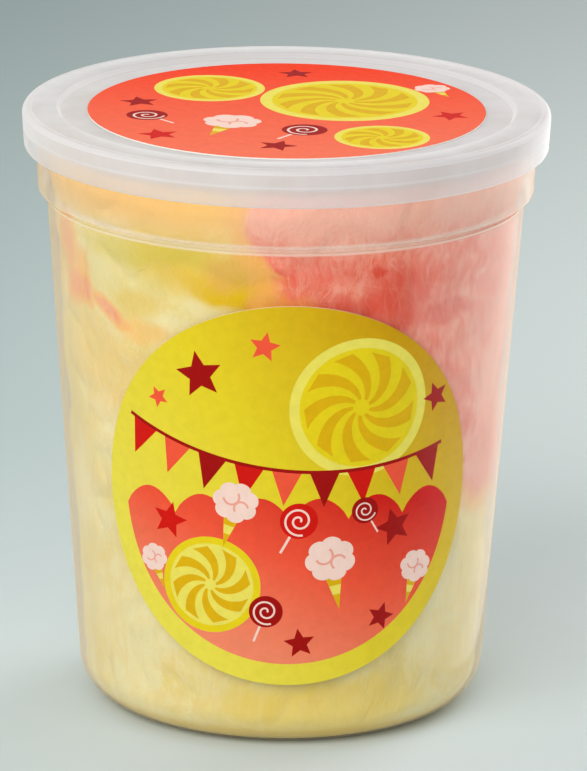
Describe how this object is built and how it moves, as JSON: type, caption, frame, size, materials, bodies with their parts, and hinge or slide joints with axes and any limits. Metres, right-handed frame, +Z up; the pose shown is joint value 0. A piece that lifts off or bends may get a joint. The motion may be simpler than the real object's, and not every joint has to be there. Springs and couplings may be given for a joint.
{
  "type": "tub of cotton candy",
  "caption": "Round see-through tapered tub with a push-on lid, filled with yellow and pink cotton candy, with a round sticker on the lid and on the front.",
  "frame": {"origin": "centre of the base, on the surface that the tub stands on", "axes": "+Z up along the tub's axis, -Y towards the front sticker, +X to the right as seen from the front"},
  "size_m": [0.118, 0.118, 0.1366],
  "materials": {
    "tub_plastic": "clear polypropylene, slightly milky, satin gloss",
    "lid_plastic": "frosted milky polypropylene",
    "lid_print": "printed satin sticker",
    "front_print": "printed satin sticker",
    "yellow_floss": "soft fluffy spun sugar",
    "pink_floss": "soft fluffy spun sugar"
  },
  "bodies": {
    "root": {"tub": "tub_plastic", "lid": "lid_plastic", "lid_sticker": "lid_print", "front_sticker": "front_print", "cotton_candy_yellow": "yellow_floss", "cotton_candy_pink": "pink_floss", "cotton_candy_pink_wisp": "pink_floss"}
  },
  "joints": []
}
